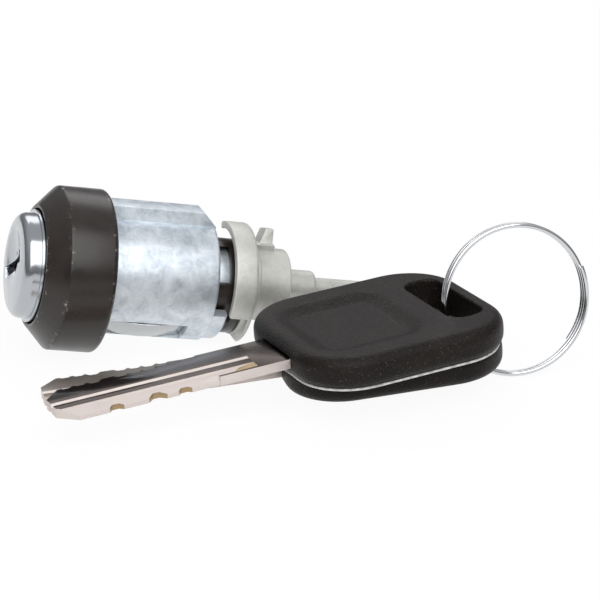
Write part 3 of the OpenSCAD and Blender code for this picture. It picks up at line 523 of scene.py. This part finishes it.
def ringTree():
    tree = bpy.data.node_groups.new("wound wire", "GeometryNodeTree")
    tree.interface.new_socket("Geometry", in_out="OUTPUT", socket_type="NodeSocketGeometry")
    sockets = {name: tree.interface.new_socket(name, in_out="INPUT", socket_type="NodeSocketFloat").identifier
               for name in ("Radius", "Wire", "Rise", "Angle", "Start", "Height")}
    given = addNode(tree, "NodeGroupInput")
    straight = addNode(tree, "GeometryNodeCurvePrimitiveLine")
    points = addNode(tree, "GeometryNodeResampleCurve", Curve=(straight, "Curve"), Count=ringForm["points"])
    share = addNode(tree, "GeometryNodeSplineParameter")
    angle = addNode(tree, "ShaderNodeMath", {"operation": "MULTIPLY_ADD"}, i0=(share, "Factor"),
                    i1=(given, "Angle"), i2=(given, "Start"))
    flat = []
    for turn in ("COSINE", "SINE"):
        part = addNode(tree, "ShaderNodeMath", {"operation": turn}, i0=(angle, "Value"))
        flat.append(addNode(tree, "ShaderNodeMath", {"operation": "MULTIPLY"}, i0=(part, "Value"),
                            i1=(given, "Radius")))
    middle = addNode(tree, "ShaderNodeMath", {"operation": "SUBTRACT"}, i0=(share, "Factor"), i1=0.5)
    rise = addNode(tree, "ShaderNodeMath", {"operation": "MULTIPLY"}, i0=(middle, "Value"),
                   i1=(given, "Rise"))
    place = addNode(tree, "ShaderNodeCombineXYZ", X=(flat[0], "Value"), Y=(flat[1], "Value"),
                    Z=(rise, "Value"))
    wound = addNode(tree, "GeometryNodeSetPosition", Geometry=(points, "Curve"), Position=(place, "Vector"))
    thick = addNode(tree, "ShaderNodeMath", {"operation": "MULTIPLY"}, i0=(given, "Wire"), i1=0.5)
    section = addNode(tree, "GeometryNodeCurvePrimitiveCircle", Resolution=ringForm["sides"],
                      Radius=(thick, "Value"))
    wire = addNode(tree, "GeometryNodeCurveToMesh", Curve=(wound, "Geometry"),
                   Profile_Curve=(section, "Curve"), Fill_Caps=True)
    centre = addNode(tree, "ShaderNodeCombineXYZ", X=ringForm["place"][0] * mm, Y=ringForm["place"][1] * mm,
                     Z=(given, "Height"))
    laid = addNode(tree, "GeometryNodeTransform", Geometry=(wire, "Mesh"), Translation=(centre, "Vector"),
                   Rotation=(math.radians(90 - ringForm["lean"]), 0, 0))
    plain = addNode(tree, "GeometryNodeRealizeInstances", Geometry=(laid, "Geometry"))
    dressed = addNode(tree, "GeometryNodeSetMaterial", Geometry=(plain, "Geometry"),
                      Material=finishes["polished_steel"])
    addNode(tree, "NodeGroupOutput", Geometry=(dressed, "Geometry"))
    return tree, sockets


tree, sockets = ringTree()
lean = math.radians(ringForm["lean"])
rise = ringForm["turns"] * (ringForm["wire"] + ringForm["gap"]) * mm
ringSizes = {"Radius": (ringForm["outer"] - ringForm["wire"]) / 2 * mm, "Wire": ringForm["wire"] * mm,
             "Rise": rise, "Angle": math.tau * ringForm["turns"], "Start": math.radians(ringForm["from"]),
             "Height": floorZ + ringForm["outer"] / 2 * mm * math.cos(lean) + rise / 2 * math.sin(lean)}
ring = growByNodes("split_ring_wound", tree, sockets, ringSizes)
settle(ring, "split_ring")
print("split ring wound:", len(ring.data.polygons), "faces")


# the remaining nodes keep their solids; the shutter takes the near-black flap colour, painted shade for the
# slot
for nodeName, node in nodes.items():
    if not node.hide_render:
        node.data.materials.clear()
        node.data.materials.append(flapPaintedSlotShade if nodeName == "shutter" else finishes[slotOf[nodeName]])


# stage

stage = {"floorSize": 6.0, "shadow": 0.06, "paper": 0.95, "roughness": 0.9}
floorMesh = bpy.data.meshes.new("floor")
half = stage["floorSize"] / 2
corners = [(-half, -half, floorZ), (half, -half, floorZ), (half, half, floorZ), (-half, half, floorZ)]
floorMesh.from_pydata(corners, [], [(0, 1, 2, 3)])
floor = bpy.data.objects.new("floor", floorMesh)
scene.collection.objects.link(floor)
paper, tree, shader, _ = newMaterial("white_sweep")
shader.inputs["Base Color"].default_value = (*[stage["paper"]] * 3, 1)
shader.inputs["Roughness"].default_value = stage["roughness"]
# the eye and mirrors see the sweep as a white glow with a share of its shadow left in
path = addNode(tree, "ShaderNodeLightPath")
seen = addNode(tree, "ShaderNodeMath", {"operation": "MAXIMUM"}, i0=(path, "Is Camera Ray"),
               i1=(path, "Is Glossy Ray"))
seen = addNode(tree, "ShaderNodeMath", {"operation": "MAXIMUM"}, i0=(seen, "Value"),
               i1=(path, "Is Transmission Ray"))
share = addNode(tree, "ShaderNodeMath", {"operation": "MULTIPLY"}, i0=(seen, "Value"),
                i1=1 - stage["shadow"])
glow = addNode(tree, "ShaderNodeEmission", Color=(1, 1, 1, 1), Strength=1.0)
mix = addNode(tree, "ShaderNodeMixShader", i0=(share, "Value"), i1=(shader, "BSDF"), i2=(glow, "Emission"))
tree.links.new(mix.outputs["Shader"], tree.nodes["Material Output"].inputs["Surface"])
floorMesh.materials.append(paper)

# a dim room that gets lighter overhead, so that metal has something dark to show
room = {"low": "#6a6a6b", "high": "#c4c4c6", "highAt": 0.75}
world = bpy.data.worlds.new("studio")
scene.world = world
world.use_nodes = True
tree = world.node_tree
coords = addNode(tree, "ShaderNodeTexCoord")
split = addNode(tree, "ShaderNodeSeparateXYZ", Vector=(coords, "Generated"))
shade = ramp(tree, (split, "Z"), [(0.0, room["low"]), (room["highAt"], room["high"])])
tree.links.new(shade.outputs["Color"], tree.nodes["Background"].inputs["Color"])

# one broad soft box over the front, and a weak one behind
lamps = {
    "overhead": {"place": (-0.08, -0.62, 0.66), "size": (1.2, 0.9), "watts": 8.0},
    "overBack": {"place": (0.15, 0.6, 0.55), "size": (0.8, 0.4), "watts": 1.5}}
aim = Vector((0.03, -0.02, 0))
for name, lamp in lamps.items():
    data = bpy.data.lights.new(name, "AREA")
    data.shape = "RECTANGLE"
    data.size, data.size_y = lamp["size"]
    data.energy = lamp["watts"]
    box = bpy.data.objects.new(name, data)
    scene.collection.objects.link(box)
    box.location = lamp["place"]
    box.rotation_euler = (aim - Vector(lamp["place"])).to_track_quat("-Z", "Y").to_euler()

view = {"place": (-102.84, -484.4, 173.41), "azimuth": -16.7, "elevation": 20.0, "lens": 156.0,
        "sensor": 36, "clipFrom": 0.01}
cameraData = bpy.data.cameras.new("photoCamera")
cameraData.sensor_width = view["sensor"]
cameraData.lens = view["lens"]
cameraData.clip_start = view["clipFrom"]
camera = bpy.data.objects.new("photoCamera", cameraData)
scene.collection.objects.link(camera)
camera.location = Vector(view["place"]) * mm
camera.rotation_euler = (math.radians(90 - view["elevation"]), 0, math.radians(view["azimuth"]))
scene.camera = camera
print("stage, lamps and camera set")
